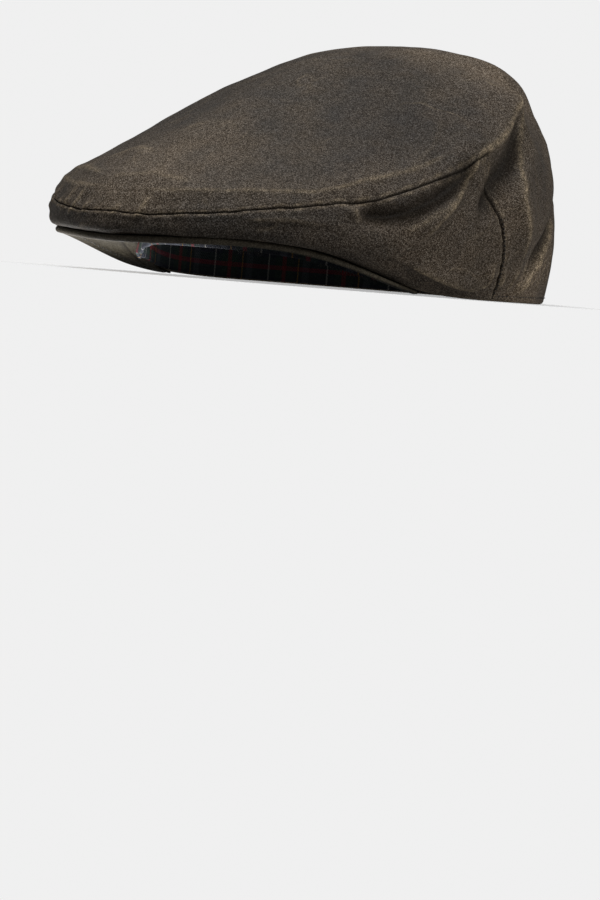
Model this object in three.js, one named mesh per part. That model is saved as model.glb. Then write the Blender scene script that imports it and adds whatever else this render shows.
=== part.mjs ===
import * as THREE from 'three';

// Flat cap of waxed cotton. Millimetres, +Z up, front of the cap toward -Y, standing on z = 0.
// An angle counts degrees from the front toward +X. A level climbs the crown: 0 at its lower
// edge, 7 at the middle of the top. Both halves of the cap mirror each other.

const wall = 1.8;            // waxed cloth with its lining
const hemWall = 2.6;         // doubled cloth along the lower edge
const gap = 0.3;             // between two pieces that are sewn together
const sectionStep = 20;      // degrees between two rows of the section tables
const topLevel = 7;
const ringRadius = 22;       // the last ring of control points round the middle of the top
const crownHeight = 112;
const crownLean = 4.4;       // how far the ring dips toward the front
const seamSink = 1.2;        // how deep a seam pulls the cloth in
const seamReach = 5;
const levelSize = 22;        // a level in mm along the cloth, near enough to lay out the folds
const angleSize = 1.65;      // a degree in mm along the cloth, likewise

const peakEnd = 67;          // angle of the peak's corners
const peakThick = 3.2;
const peakEdgeRound = 1.2;
const peakProud = 1;         // how far the peak's edge stands out past the crown
const cornerSpan = 10;       // degrees over which a corner of the peak narrows and thins
const peakRise = 5;          // how much higher the peak is at the forehead than at its edge

const bandThick = 1.5;
const bandTall = 28;
const bandClear = 0.7;        // between the sweatband and the doubled hem

// Radius of each control point of the crown's sections, from the front to the back.
const crownRadius = [
  { angle: 0, edge: 141, strip: 148, seam: 147, shoulder: 138, upper: 95, mid: 52 },
  { angle: 20, edge: 142, strip: 147, seam: 148, shoulder: 139, upper: 94, mid: 50 },
  { angle: 40, edge: 131, strip: 138, seam: 143, shoulder: 133, upper: 90, mid: 48 },
  { angle: 60, edge: 107, strip: 122, seam: 130, shoulder: 121, upper: 84, mid: 46 },
  { angle: 80, edge: 91, strip: 107, seam: 116, shoulder: 109, upper: 79, mid: 45 },
  { angle: 100, edge: 88, strip: 100, seam: 105, shoulder: 100, upper: 76, mid: 46 },
  { angle: 120, edge: 90, strip: 96, seam: 96, shoulder: 92, upper: 75, mid: 48 },
  { angle: 140, edge: 93, strip: 96, seam: 93, shoulder: 89, upper: 74, mid: 50 },
  { angle: 160, edge: 96, strip: 100, seam: 98, shoulder: 92, upper: 76, mid: 51 },
  { angle: 180, edge: 98, strip: 103, seam: 102, shoulder: 95, upper: 77, mid: 51 },
];

// Height of the same control points.
const crownRise = [
  { angle: 0, edge: 16, strip: 17, seam: 26, shoulder: 46, upper: 69, mid: 95 },
  { angle: 20, edge: 19, strip: 18, seam: 24, shoulder: 44, upper: 67, mid: 95 },
  { angle: 40, edge: 20, strip: 18, seam: 26, shoulder: 46, upper: 69, mid: 97 },
  { angle: 60, edge: 2.4, strip: 15, seam: 32, shoulder: 55, upper: 82, mid: 101 },
  { angle: 80, edge: 0, strip: 17, seam: 40, shoulder: 63, upper: 92, mid: 106 },
  { angle: 100, edge: 0, strip: 19, seam: 46, shoulder: 65, upper: 97, mid: 110 },
  { angle: 120, edge: 0, strip: 22, seam: 50, shoulder: 68, upper: 99, mid: 113 },
  { angle: 140, edge: 0, strip: 23, seam: 52, shoulder: 72, upper: 101, mid: 115 },
  { angle: 160, edge: 0, strip: 24, seam: 54, shoulder: 78, upper: 104, mid: 116 },
  { angle: 180, edge: 0, strip: 24, seam: 55, shoulder: 86, upper: 109, mid: 117 },
];
const columns = ['edge', 'strip', 'seam', 'shoulder', 'upper', 'mid'];

// The seam between the top panel and the side band: along the side, then down to the hem.
const sideSeam = [
  { angle: 0, level: 1.94 },
  { angle: 12, level: 2 },
  { angle: 24, level: 2.22 },
  { angle: 40, level: 2.44 },
  { angle: 52, level: 2.52 },
  { angle: 66, level: 2.73 },
  { angle: 80, level: 3.02 },
];
const backSeam = [
  { level: 0, angle: 96 },
  { level: 0.9, angle: 91 },
  { level: 1.95, angle: 84 },
  { level: 3.02, angle: 80 },
];
const seamCorner = 80;       // angle where the two stretches of the seam meet

// Folds of the cloth. A path runs through [angle, level] points. rise is the fold's height, a
// valley's below zero. left and right are its widths to each side of the path, ends its fade.
const folds = [
  { name: 'long ridge', path: [[112, 4.3], [92, 3.5], [80, 3], [73, 2.5], [66, 2], [61, 1.4]],
    rise: 4.5, left: 14, right: 6, ends: 22 },
  { name: 'back ridge', path: [[112, 4.3], [101, 3.3], [95, 2.8], [93, 2.2], [97, 1.5]],
    rise: 4.5, left: 6, right: 9, ends: 18 },
  { name: 'valley between', path: [[96, 3.6], [87, 3], [82, 2.4], [80, 1.7]],
    rise: -4, left: 7, right: 7, ends: 16 },
  { name: 'hollow under the seam', path: [[44, 2.15], [57, 2.25], [66, 2.45], [74, 2.7]],
    rise: -6, left: 9, right: 6, ends: 18 },
  { name: 'rear crease', path: [[138, 1.9], [124, 1.4], [113, 0.9], [108, 0.3]],
    rise: -4, left: 7, right: 5, ends: 14 },
  { name: 'lip over the hem', path: [[64, 0.9], [74, 0.75], [86, 0.6], [94, 0.5]],
    rise: 2.5, left: 9, right: 9, ends: 16 },
  { name: 'line above the seam', path: [[12, 2.55], [28, 2.75], [48, 2.8], [72, 3.1]],
    rise: 1.6, left: 6, right: 6, ends: 20 },
];

// The sweatband's outer radius and the height of its lower edge.
const bandShape = [
  { angle: 0, radius: 97, low: 16 },
  { angle: 20, radius: 97, low: 17 },
  { angle: 40, radius: 97, low: 14 },
  { angle: 60, radius: 96, low: 3.4 },
  { angle: 80, radius: 90, low: 0.6 },
  { angle: 100, radius: 86, low: 0.6 },
  { angle: 120, radius: 87, low: 0.6 },
  { angle: 140, radius: 90, low: 0.6 },
  { angle: 160, radius: 93, low: 0.6 },
  { angle: 180, radius: 94.5, low: 0.6 },
];

const radians = THREE.MathUtils.degToRad;
const clamp = THREE.MathUtils.clamp;

// Weights of four control points in a row, at a fraction of the way from the second to the third.
function splineWeights(f) {
  return [
    (1 - f) ** 3 / 6,
    (3 * f ** 3 - 6 * f ** 2 + 4) / 6,
    (-3 * f ** 3 + 3 * f ** 2 + 3 * f + 1) / 6,
    f ** 3 / 6,
  ];
}

// A column of a section table at any angle. The table mirrors at the front and at the back.
function atAngle(table, column, angle) {
  const turned = Math.abs(angle) / sectionStep;
  const last = table.length - 1;
  const first = Math.min(Math.floor(turned), last - 1);
  const weights = splineWeights(turned - first);
  let sum = 0;
  for (let k = 0; k < 4; k += 1) {
    const step = Math.abs(first - 1 + k);
    const row = step > last ? 2 * last - step : step;
    sum += weights[k] * table[row][column];
  }
  return sum;
}

// The section's control points at an angle, as [radius, height], with one more past each end.
function sectionAt(angle) {
  const points = columns.map((column) => [
    atAngle(crownRadius, column, angle),
    atAngle(crownRise, column, angle),
  ]);
  const before = [2 * points[0][0] - points[1][0], 2 * points[0][1] - points[1][1]];
  const dip = crownLean * Math.cos(radians(angle));
  return [
    before,
    ...points,
    [ringRadius, crownHeight - dip],
    [0, crownHeight],
    [-ringRadius, crownHeight + dip],
  ];
}

// The crown's smooth surface, without folds.
function smoothCrown(angle, level) {
  const first = Math.min(Math.floor(level), topLevel - 1);
  const weights = splineWeights(level - first);
  const section = sectionAt(angle);
  let radius = 0;
  let height = 0;
  for (let k = 0; k < 4; k += 1) {
    radius += weights[k] * section[first + k][0];
    height += weights[k] * section[first + k][1];
  }
  const turn = radians(angle);
  return new THREE.Vector3(radius * Math.sin(turn), -radius * Math.cos(turn), height);
}

// Unit normal of a surface given as a function of angle and level, pointing out of the crown.
function normalOf(surface, angle, level) {
  if (level > topLevel - 0.05) return new THREE.Vector3(0, 0, 1);
  const low = Math.max(level - 0.04, 0);
  const along = surface(angle + 0.8, level).sub(surface(angle - 0.8, level));
  const up = surface(angle, level + 0.04).sub(surface(angle, low));
  return along.cross(up).normalize();
}

// A smooth curve through the rows of a table, read from one column to another.
function readTable(table, from, to, value) {
  const last = table.length - 1;
  let k = 0;
  while (k < last - 1 && value > table[k + 1][from]) k += 1;
  const slope = (i) => {
    const a = table[Math.max(i - 1, 0)];
    const b = table[Math.min(i + 1, last)];
    return (b[to] - a[to]) / (b[from] - a[from]);
  };
  const span = table[k + 1][from] - table[k][from];
  const f = clamp((value - table[k][from]) / span, 0, 1);
  const step = table[k + 1][to] - table[k][to];
  const bend = (slope(k) * span * (1 - f) - slope(k + 1) * span * f - step * (1 - 2 * f));
  return table[k][to] + step * f + f * (1 - f) * bend;
}

// Where a point of the cloth lies beside a path of [angle, level] points: its distance from the
// path in mm along the cloth, the side it is on, how far along it is, and the path's length.
function besidePath(path, angle, level) {
  const x = angle * angleSize;
  const y = level * levelSize;
  let best = null;
  let walked = 0;
  for (let k = 0; k + 1 < path.length; k += 1) {
    const [ax, ay] = [path[k][0] * angleSize, path[k][1] * levelSize];
    const [bx, by] = [path[k + 1][0] * angleSize, path[k + 1][1] * levelSize];
    const length = Math.hypot(bx - ax, by - ay);
    const along = ((x - ax) * (bx - ax) + (y - ay) * (by - ay)) / length;
    const on = clamp(along, 0, length);
    const dx = x - (ax + ((bx - ax) * on) / length);
    const dy = y - (ay + ((by - ay) * on) / length);
    const distance = Math.hypot(dx, dy);
    const side = (bx - ax) * dy - (by - ay) * dx;
    if (!best || distance < best.distance) best = { distance, side, at: walked + on };
    walked += length;
  }
  return { ...best, length: walked };
}

// Height of one fold at a point of the cloth: full along its path, fading to each side.
function foldHeight(fold, angle, level) {
  const beside = besidePath(fold.path, angle, level);
  const width = beside.side > 0 ? fold.left : fold.right;
  const fromEnd = Math.min(beside.at, beside.length - beside.at) / fold.ends;
  const fade = 0.25 + 0.75 * THREE.MathUtils.smoothstep(fromEnd, 0, 1);
  return fold.rise * fade * Math.exp(-((beside.distance / width) ** 2));
}

const cornerLevel = sideSeam[sideSeam.length - 1].level;
const seamPath = [];
for (let angle = 0; angle < seamCorner; angle += 8) {
  seamPath.push([angle, readTable(sideSeam, 'angle', 'level', angle)]);
}
for (let part = 0; part <= 6; part += 1) {
  const level = cornerLevel * (1 - part / 6);
  seamPath.push([readTable(backSeam, 'level', 'angle', level), level]);
}

// How far a point of the cloth is pushed out by the folds and pulled in by the seam. The lower
// edge stays where it is.
function pushAt(angle, level) {
  const toSeam = besidePath(seamPath, Math.abs(angle), level).distance;
  let push = -seamSink * Math.exp(-((toSeam / seamReach) ** 2));
  for (const fold of folds) push += foldHeight(fold, Math.abs(angle), level);
  return push * THREE.MathUtils.smoothstep(level, 0, 0.8);
}

// The crown's cloth: the smooth surface with its folds.
function crownCloth(angle, level) {
  const point = smoothCrown(angle, level);
  return point.addScaledVector(normalOf(smoothCrown, angle, level), pushAt(angle, level));
}

// Turns a closed set of triangles into a geometry whose faces point outward.
function closedGeometry(points, triangles) {
  let volume = 0;
  for (const [a, b, c] of triangles) {
    const cross = new THREE.Vector3().crossVectors(points[b], points[c]);
    volume += points[a].dot(cross);
  }
  const geometry = new THREE.BufferGeometry();
  geometry.setFromPoints(points);
  geometry.setIndex(triangles.flatMap(([a, b, c]) => (volume > 0 ? [a, b, c] : [a, c, b])));
  geometry.computeVertexNormals();
  return geometry;
}

// Two triangles for the corners of a patch, in their order round it, split by the shorter diagonal.
function patch(points, a, b, c, d) {
  const acrossAc = points[a].distanceTo(points[c]);
  const acrossBd = points[b].distanceTo(points[d]);
  return acrossAc < acrossBd - 1e-6 ? [[a, b, c], [a, c, d]] : [[a, b, d], [b, c, d]];
}

// The inner side of a cloth point: a wall's thickness inward, level with it at the hem.
function innerSide(point, angle, level, onHem) {
  if (onHem) {
    const turn = radians(angle);
    const inward = new THREE.Vector3(-Math.sin(turn), Math.cos(turn), 0);
    return point.clone().addScaledVector(inward, hemWall);
  }
  return point.clone().addScaledVector(normalOf(crownCloth, angle, level), -wall);
}

// Outline of the top panel on the crown, from the front round to the front again. A column of
// cloth climbs from each point: start is the angle that it ends at, lag how late it climbs.
function topOutline() {
  const half = [];
  const sideSteps = 18;
  const backSteps = 9;
  const hemSteps = 13;
  const fanned = 45;
  const clear = gap / 2;
  for (let k = 0; k < sideSteps; k += 1) {
    const angle = (seamCorner * k) / sideSteps;
    const level = readTable(sideSeam, 'angle', 'level', angle) + clear / levelSize;
    half.push({ start: angle, angle, level, lag: 1.15, hem: false });
  }
  for (let k = 0; k < backSteps; k += 1) {
    const down = k / backSteps;
    const level = cornerLevel * (1 - down);
    const angle = readTable(backSeam, 'level', 'angle', level) + clear / angleSize;
    const start = seamCorner + fanned * down;
    half.push({ start, angle, level, lag: 1.15 + 0.35 * down, hem: false });
  }
  const hemStart = readTable(backSeam, 'level', 'angle', 0) + clear / angleSize;
  for (let k = 0; k <= hemSteps; k += 1) {
    const round = k / hemSteps;
    const angle = hemStart + (180 - hemStart) * round;
    const start = seamCorner + fanned + (180 - seamCorner - fanned) * round;
    half.push({ start, angle, level: 0, lag: 1.5 - 0.35 * round, hem: true });
  }
  const mirrored = half.slice(1, -1).reverse();
  return [...half, ...mirrored.map((p) => ({ ...p, start: -p.start, angle: -p.angle }))];
}

// The top panel: rows of cloth from its outline up to the middle of the top, and their inner side.
function topPanel() {
  const outline = topOutline();
  const rows = 16;
  const points = [];
  const outer = [];
  const inner = [];
  for (const edge of outline) {
    const outerColumn = [];
    const innerColumn = [];
    for (let row = 0; row < rows; row += 1) {
      const way = row / rows;
      const level = edge.level + (topLevel - edge.level) * way ** edge.lag;
      const turned = Math.sin((Math.PI / 2) * Math.min(1, 1.6 * way));
      const angle = edge.angle + (edge.start - edge.angle) * turned;
      const point = crownCloth(angle, level);
      outerColumn.push(points.push(point) - 1);
      const inside = innerSide(point, angle, level, edge.hem && row === 0);
      innerColumn.push(points.push(inside) - 1);
    }
    outer.push(outerColumn);
    inner.push(innerColumn);
  }
  const middle = crownCloth(0, topLevel);
  const outerMiddle = points.push(middle) - 1;
  const innerMiddle = points.push(middle.clone().setZ(middle.z - wall)) - 1;
  const triangles = [];
  for (let c = 0; c < outline.length; c += 1) {
    const d = (c + 1) % outline.length;
    for (let row = 0; row + 1 < rows; row += 1) {
      const up = row + 1;
      triangles.push(...patch(points, outer[c][row], outer[d][row], outer[d][up], outer[c][up]));
      triangles.push(...patch(points, inner[d][row], inner[c][row], inner[c][up], inner[d][up]));
    }
    triangles.push([outer[c][rows - 1], outer[d][rows - 1], outerMiddle]);
    triangles.push([inner[c][rows - 1], innerMiddle, inner[d][rows - 1]]);
    triangles.push([outer[c][0], inner[c][0], inner[d][0]]);
    triangles.push([outer[c][0], inner[d][0], outer[d][0]]);
  }
  return closedGeometry(points, triangles);
}

// The side band: one strip of cloth round the front, from the hem up to the seam.
function sideBand() {
  const halfColumns = 26;
  const rows = 9;
  const points = [];
  const outer = [];
  const inner = [];
  const clear = gap / 2;
  for (let c = -halfColumns; c <= halfColumns; c += 1) {
    const along = Math.abs(c) / halfColumns;
    const sideLevel = readTable(sideSeam, 'angle', 'level', along * seamCorner);
    const outerColumn = [];
    const innerColumn = [];
    for (let row = 0; row <= rows; row += 1) {
      const up = row / rows;
      const level = up * (sideLevel - clear / levelSize);
      const backAngle = readTable(backSeam, 'level', 'angle', up * cornerLevel);
      const angle = Math.sign(c) * along * (backAngle - clear / angleSize);
      const point = crownCloth(angle, level);
      outerColumn.push(points.push(point) - 1);
      innerColumn.push(points.push(innerSide(point, angle, level, row === 0)) - 1);
    }
    outer.push(outerColumn);
    inner.push(innerColumn);
  }
  const triangles = [];
  const last = outer.length - 1;
  for (let c = 0; c < last; c += 1) {
    for (let row = 0; row < rows; row += 1) {
      const [d, up] = [c + 1, row + 1];
      triangles.push(...patch(points, outer[c][row], outer[d][row], outer[d][up], outer[c][up]));
      triangles.push(...patch(points, inner[d][row], inner[c][row], inner[c][up], inner[d][up]));
    }
    triangles.push([outer[c][0], inner[c][0], inner[c + 1][0]]);
    triangles.push([outer[c][0], inner[c + 1][0], outer[c + 1][0]]);
    triangles.push([outer[c][rows], outer[c + 1][rows], inner[c + 1][rows]]);
    triangles.push([outer[c][rows], inner[c + 1][rows], inner[c][rows]]);
  }
  for (let row = 0; row < rows; row += 1) {
    triangles.push([outer[0][row], outer[0][row + 1], inner[0][row + 1]]);
    triangles.push([outer[0][row], inner[0][row + 1], inner[0][row]]);
    triangles.push([outer[last][row], inner[last][row + 1], outer[last][row + 1]]);
    triangles.push([outer[last][row], inner[last][row], inner[last][row + 1]]);
  }
  return closedGeometry(points, triangles);
}

// A solid swept through sections that are loops of points, closed round or with flat ends.
function sweptSolid(sections, round) {
  const points = sections.flat();
  const size = sections[0].length;
  const triangles = [];
  const spans = round ? sections.length : sections.length - 1;
  for (let s = 0; s < spans; s += 1) {
    const here = s * size;
    const there = ((s + 1) % sections.length) * size;
    for (let k = 0; k < size; k += 1) {
      const next = (k + 1) % size;
      triangles.push([here + k, there + k, there + next]);
      triangles.push([here + k, there + next, here + next]);
    }
  }
  if (!round) {
    const end = (sections.length - 1) * size;
    for (let k = 1; k + 1 < size; k += 1) {
      triangles.push([0, k, k + 1]);
      triangles.push([end, end + k + 1, end + k]);
    }
  }
  return closedGeometry(points, triangles);
}

function polar(angle, radius, height) {
  const turn = radians(angle);
  return new THREE.Vector3(radius * Math.sin(turn), -radius * Math.cos(turn), height);
}

function bandRadius(angle) {
  const inCrown = atAngle(crownRadius, 'edge', angle) - hemWall - bandClear;
  return Math.min(atAngle(bandShape, 'radius', angle), inCrown);
}

// The peak: a stiff board with a rounded edge, lying under the front of the crown.
function peakBoard() {
  const sections = [];
  const steps = 40;
  for (let s = 0; s <= steps; s += 1) {
    const angle = -peakEnd + (2 * peakEnd * s) / steps;
    const toEnd = clamp((peakEnd - Math.abs(angle)) / cornerSpan, 0, 1);
    const shrink = 0.35 + 0.65 * Math.sqrt(toEnd * (2 - toEnd));
    const thick = peakThick * (0.6 + 0.4 * toEnd);
    const inside = bandRadius(angle) + gap;
    const full = atAngle(crownRadius, 'edge', angle) + peakProud - inside;
    const outside = inside + full * shrink;
    const top = atAngle(crownRise, 'edge', angle) - gap;
    const rise = peakRise * Math.cos((Math.PI / 2) * (angle / peakEnd)) ** 2;
    const across = (f) => outside + (inside - outside) * f;
    const round = peakEdgeRound * (thick / peakThick);
    sections.push([
      polar(angle, inside, top + rise),
      polar(angle, across(0.45), top + rise * 0.25),
      polar(angle, outside - round, top),
      polar(angle, outside, top - round),
      polar(angle, outside, top - thick + round),
      polar(angle, outside - round, top - thick),
      polar(angle, across(0.45), top + rise * 0.25 - thick),
      polar(angle, inside, top + rise - thick),
    ]);
  }
  return sweptSolid(sections, false);
}

// The sweatband: an upright band of checked cloth round the opening, sewn in along its lower edge.
function sweatband() {
  const sections = [];
  const steps = 60;
  for (let s = 0; s < steps; s += 1) {
    const angle = -180 + (360 * s) / steps;
    const radius = bandRadius(angle);
    const low = atAngle(bandShape, 'low', angle);
    sections.push([
      polar(angle, radius, low),
      polar(angle, radius, low + bandTall),
      polar(angle, radius - bandThick, low + bandTall),
      polar(angle, radius - bandThick, low),
    ]);
  }
  return sweptSolid(sections, true);
}

const waxedCloth = { color: 0x4a433a, roughness: 0.78, metalness: 0 };
const peakCloth = { color: 0x4f473c, roughness: 0.8, metalness: 0 };
const checkedCloth = { color: 0x2c3038, roughness: 0.9, metalness: 0 };

function piece(name, geometry, look) {
  const mesh = new THREE.Mesh(geometry, new THREE.MeshStandardMaterial(look));
  mesh.name = name;
  return mesh;
}

const cap = new THREE.Group();
cap.name = 'flat_cap';
cap.add(piece('top_panel', topPanel(), waxedCloth));
cap.add(piece('side_band', sideBand(), waxedCloth));
cap.add(piece('peak', peakBoard(), peakCloth));
cap.add(piece('sweatband', sweatband(), checkedCloth));

// The origin is the middle of the cap's footprint.
const box = new THREE.Box3().setFromObject(cap);
cap.position.y = -(box.min.y + box.max.y) / 2;

export default cap;
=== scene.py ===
import math

import bpy
import numpy as np
from mathutils import Matrix, Vector, noise


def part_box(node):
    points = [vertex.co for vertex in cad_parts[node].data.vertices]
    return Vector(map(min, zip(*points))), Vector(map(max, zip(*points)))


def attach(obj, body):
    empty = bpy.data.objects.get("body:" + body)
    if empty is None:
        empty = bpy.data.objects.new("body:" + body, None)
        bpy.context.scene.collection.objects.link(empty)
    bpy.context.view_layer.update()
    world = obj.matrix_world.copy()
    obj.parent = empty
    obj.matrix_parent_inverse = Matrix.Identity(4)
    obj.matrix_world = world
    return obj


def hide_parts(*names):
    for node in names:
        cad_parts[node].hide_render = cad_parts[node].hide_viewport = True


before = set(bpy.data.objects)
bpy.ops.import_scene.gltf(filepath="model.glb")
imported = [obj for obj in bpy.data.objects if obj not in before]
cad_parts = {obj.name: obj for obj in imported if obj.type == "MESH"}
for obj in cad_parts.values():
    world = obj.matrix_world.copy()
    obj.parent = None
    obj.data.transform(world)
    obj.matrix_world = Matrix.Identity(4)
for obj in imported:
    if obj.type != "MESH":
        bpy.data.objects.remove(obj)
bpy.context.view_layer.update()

mm = 0.001

# Angles count degrees from the front toward the wearer's left side. Levels climb the crown,
# 0 at its lower edge and 7 at the middle of the top.

# One row for every 20 degrees from the front to the back: radius and height of the control
# points at the edge, the strip, the seam, the shoulder, the upper part and the middle.
crownRadius = np.array([
    [141, 148, 147, 138, 95, 52],
    [142, 147, 148, 139, 94, 50],
    [131, 138, 143, 133, 90, 48],
    [107, 122, 130, 121, 84, 46],
    [91, 107, 116, 109, 79, 45],
    [88, 100, 105, 100, 76, 46],
    [90, 96, 96, 92, 75, 48],
    [93, 96, 93, 89, 74, 50],
    [96, 100, 98, 92, 76, 51],
    [98, 103, 102, 95, 77, 51],
], float)
crownRise = np.array([
    [16, 17, 26, 46, 69, 95],
    [19, 18, 24, 44, 67, 95],
    [20, 18, 26, 46, 69, 97],
    [2.4, 15, 32, 55, 82, 101],
    [0, 17, 40, 63, 92, 106],
    [0, 19, 46, 65, 97, 110],
    [0, 22, 50, 68, 99, 113],
    [0, 23, 52, 72, 101, 115],
    [0, 24, 54, 78, 104, 116],
    [0, 24, 55, 86, 109, 117],
], float)
crown = {
    "sectionStep": 20,    # degrees between two rows of the tables above
    "topLevel": 7,
    "middle": 6.999,      # just short of the top level, where the faces close
    "hemLevel": 0.06,     # where the cloth ends and the turned hem begins
    "ringRadius": 22,     # the control points nearest the middle of the top
    "height": 112,
    "lean": 4.4,          # how far that ring dips at the front and rises at the back
    "levelSize": 22,      # mm of cloth for one level
    "angleSize": 1.65,    # mm of cloth for one degree
    "probe": (0.8, 0.04),  # degrees and levels to each side, to measure which way it faces
    "flatFrom": 6.95,     # above this level it faces straight up
    "hemWall": 2.6,
    "hemWear": 0.35,
}
sideSeam = {"angle": [0, 12, 24, 40, 52, 66, 80], "level": [1.94, 2, 2.22, 2.44, 2.52, 2.73, 3.02]}
backSeam = {"level": [0, 0.9, 1.95, 3.02], "angle": [96, 91, 84, 80]}
seamCorner = 80

# Large folds, on both sides of the cap. A path runs through (angle, level) points, and left and
# right are the fold's reach in mm beside it. A low power makes the crest sharp on that side, 2
# makes it round. ends is how far it fades in, wear how pale the crest is, wearAt where.
folds = [
    # the long fold that covers the seam just past its corner
    {"path": [(113, 3.95), (99, 3.6), (89, 3.28), (77.2, 3.0),
              (73.4, 2.66), (69.5, 2.3), (66, 2), (61, 1.4)],
     "rise": 6.8, "left": 3, "right": 15, "powers": (1.6, 2), "ends": 24,
     "wear": 1.1, "wearAt": 0.2, "halo": 0.05},
    # the upright fold behind it
    {"path": [(112, 4.3), (100, 3.3), (93, 2.8), (90.5, 2.2), (95, 1.5), (101, 0.7)],
     "rise": 5.2, "left": 12, "right": 5.5, "powers": (1.7, 1.3), "ends": 26,
     "wear": 1.1, "wearAt": 0.2, "halo": 0.1},
    # the valley between the two
    {"path": [(104, 3.55), (99, 3.38), (92, 3.02), (84, 2.7), (80.5, 2.35), (78, 1.7)],
     "rise": -5.5, "left": 7, "right": 4, "powers": (2, 2), "ends": 12, "wear": 0},
    # the deep hollow under the seam
    {"path": [(49.5, 2.4), (52, 2.24), (55, 2.17), (59, 2.21), (64, 2.38), (70, 2.65), (76, 2.9)],
     "rise": -8.5, "left": 3.2, "right": 6.5, "powers": (2, 1.5), "ends": 5, "wear": 0},
    # the diagonal crease low at the back
    {"path": [(137, 1.75), (124, 1.38), (111.5, 0.88), (105.5, 0.3)],
     "rise": -5, "left": 3, "right": 8, "powers": (2, 2), "ends": 14, "wear": 0},
    # the small lip at the hem
    {"path": [(60, 0.8), (69, 0.54), (78, 0.34), (83.5, 0.3), (87, 0.5), (87.5, 1.0)],
     "rise": 3.8, "left": 7, "right": 1.8, "powers": (2, 1.6), "ends": 9, "wear": 2, "halo": 0.08},
    # the line above the seam
    {"path": [(2, 2.62), (12, 2.62), (28, 2.75), (40, 2.72), (50, 2.9), (60, 2.95), (72, 3.15)],
     "rise": 1.5, "left": 7, "right": 4, "powers": (1.3, 1.3), "ends": 20, "wear": 0.55, "halo": 0.04},
    # a low swelling high at the back of the side
    {"path": [(114, 4.75), (124, 4.4), (134, 3.7)],
     "rise": 3.2, "left": 13, "right": 13, "powers": (2, 2), "ends": 12, "wear": 0},
]
foldMark = {
    "endShare": 0.25,     # what is left of a fold at its ends
    "line": 0.75,         # half width in mm of the pale line, and next of the halo round it
    "halo": 3.2,
    "haloShare": 0.2,
    "fullShade": 5,       # a hollow this deep is as dark as any
}

# Small wrinkles. side 1 is the wearer's left, -1 the right, 0 both.
wrinkles = [
    {"side": 0, "path": [(135, 1.62), (123, 1.24), (114, 0.84), (109, 0.45), (108, 0.15)],
     "rise": 1.6, "width": 1.8, "wear": 1.1},
    {"side": 0, "path": [(70, 2.35), (64, 2.05), (58, 1.7)], "rise": 1.2, "width": 2.6, "wear": 0.5},
    {"side": 0, "path": [(75, 2.75), (70, 2.5), (64, 2.25)], "rise": -1.4, "width": 1.8, "wear": 0},
    {"side": 0, "path": [(116, 1.1), (115, 0.7), (114, 0.3)], "rise": 0.9, "width": 1.6, "wear": 0.6},
    {"side": 0, "path": [(121, 1.0), (120, 0.6), (120, 0.3)], "rise": 0.9, "width": 1.5, "wear": 0.6},
    {"side": 0, "path": [(126, 1.1), (126, 0.7), (126, 0.3)], "rise": 0.8, "width": 1.6, "wear": 0.5},
    {"side": 0, "path": [(94, 0.8), (95, 0.5), (95.5, 0.3)], "rise": 1.1, "width": 1.6, "wear": 0.8},
    {"side": 0, "path": [(100, 0.85), (100.5, 0.5), (101, 0.2)], "rise": 1.1, "width": 1.4, "wear": 0.9},
    {"side": 0, "path": [(104, 1.0), (105.5, 0.6), (106, 0.15)], "rise": 1.2, "width": 1.4, "wear": 1},
    {"side": 0, "path": [(109, 0.75), (110, 0.5), (110.5, 0.15)], "rise": 1, "width": 1.3, "wear": 0.9},
    {"side": 0, "path": [(46.5, 2.44), (48, 2.3), (49, 2.1), (50, 1.9)],
     "rise": 2.8, "width": 2.2, "wear": 0.55},
    {"side": 0, "path": [(28, 2.0), (36, 2.05), (43, 1.9)], "rise": 0.8, "width": 2.4, "wear": 0.4},
    {"side": 0, "path": [(30, 1.75), (38, 1.85), (45, 1.7)], "rise": -0.9, "width": 2.4, "wear": 0},
    {"side": 1, "path": [(-6, 2.85), (6, 2.95), (16, 2.85)], "rise": 0.9, "width": 2.6, "wear": 0.3},
    {"side": 1, "path": [(58, 2.95), (66, 3.3), (72, 3.75)], "rise": 0.8, "width": 3.2, "wear": 0.1},
    {"side": 1, "path": [(-8, 3.9), (2, 4.1), (14, 4.0)], "rise": 0.9, "width": 3.5, "wear": 0.15},
    {"side": 1, "path": [(-20, 3.2), (-13, 3.5), (-4, 3.45)], "rise": 0.9, "width": 3, "wear": 0.4},
    {"side": -1, "path": [(10, 2.9), (22, 3.05), (34, 2.95)], "rise": 0.9, "width": 2.6, "wear": 0.5},
    {"side": -1, "path": [(52, 3.0), (60, 3.3), (68, 3.7)], "rise": 0.9, "width": 3.2, "wear": 0.3},
    {"side": 0, "path": [(150, 2.6), (158, 1.6), (160, 0.6)], "rise": 1.6, "width": 4, "wear": 0.4},
    {"side": 0, "path": [(134, 3.2), (142, 2.7), (154, 2.4)], "rise": 0.7, "width": 4, "wear": 0.3},
    {"side": 0, "path": [(166, 1.2), (168, 0.7), (168, 0.3)], "rise": 0.8, "width": 1.8, "wear": 0.4},
]
# half width of the pale line, how far a wrinkle fades in, and what is left at its ends
wrinkleMark = {"line": 0.9, "ends": 6, "start": 0.15}

# Puckers across the seam at the front.
puckers = {
    "angles": [-27, -24, -20, -16, -12, -8, -4, 1, 7],
    "lean": 1.6,          # degrees from its foot to the seam, and from there to its head
    "above": 0.62,        # levels
    "below": 0.3,
    "rise": 1.4,
    "width": 1.5,
    "ends": 5,
    "start": 0.1,
    "wear": 0.9,
    "line": 0.8,
    "size": 0.65,         # the middle size, how far sizes swing round it, and how fast
    "swing": 0.35,
    "beat": 5,
}
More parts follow.
